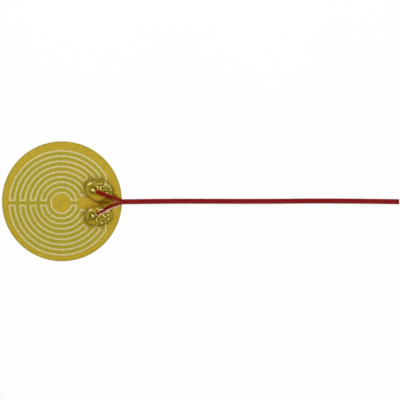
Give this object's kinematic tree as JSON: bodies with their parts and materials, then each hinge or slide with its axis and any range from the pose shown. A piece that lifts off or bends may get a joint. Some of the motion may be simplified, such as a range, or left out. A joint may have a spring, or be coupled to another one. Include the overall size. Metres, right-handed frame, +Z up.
{
  "type": "flexible film heater",
  "caption": "Round flexible heater: an etched foil winding laminated between amber films, with red leads soldered under raised blisters of the upper film",
  "frame": {"origin": "centre of the disc on its underside, the face that is stuck to the warmed surface", "axes": "+Z up through the laminate, +X from the disc's centre along the leads, +Y across"},
  "size_m": [0.1984, 0.06, 0.0018],
  "materials": {
    "base_film": "amber polyimide film, backing side",
    "foil": "bright etched copper-nickel foil",
    "cover_film": "see-through amber polyimide film",
    "solder": "bright solder",
    "wire": "tinned copper strands",
    "insulation": "dark red, slightly glossy"
  },
  "bodies": {
    "root": {"base_film": "base_film", "heating_foil": "foil", "cover_film": "cover_film", "solder_joint_upper": "solder", "solder_joint_lower": "solder", "conductor_upper": "wire", "conductor_lower": "wire", "insulation_upper": "insulation", "insulation_lower": "insulation"}
  },
  "joints": []
}
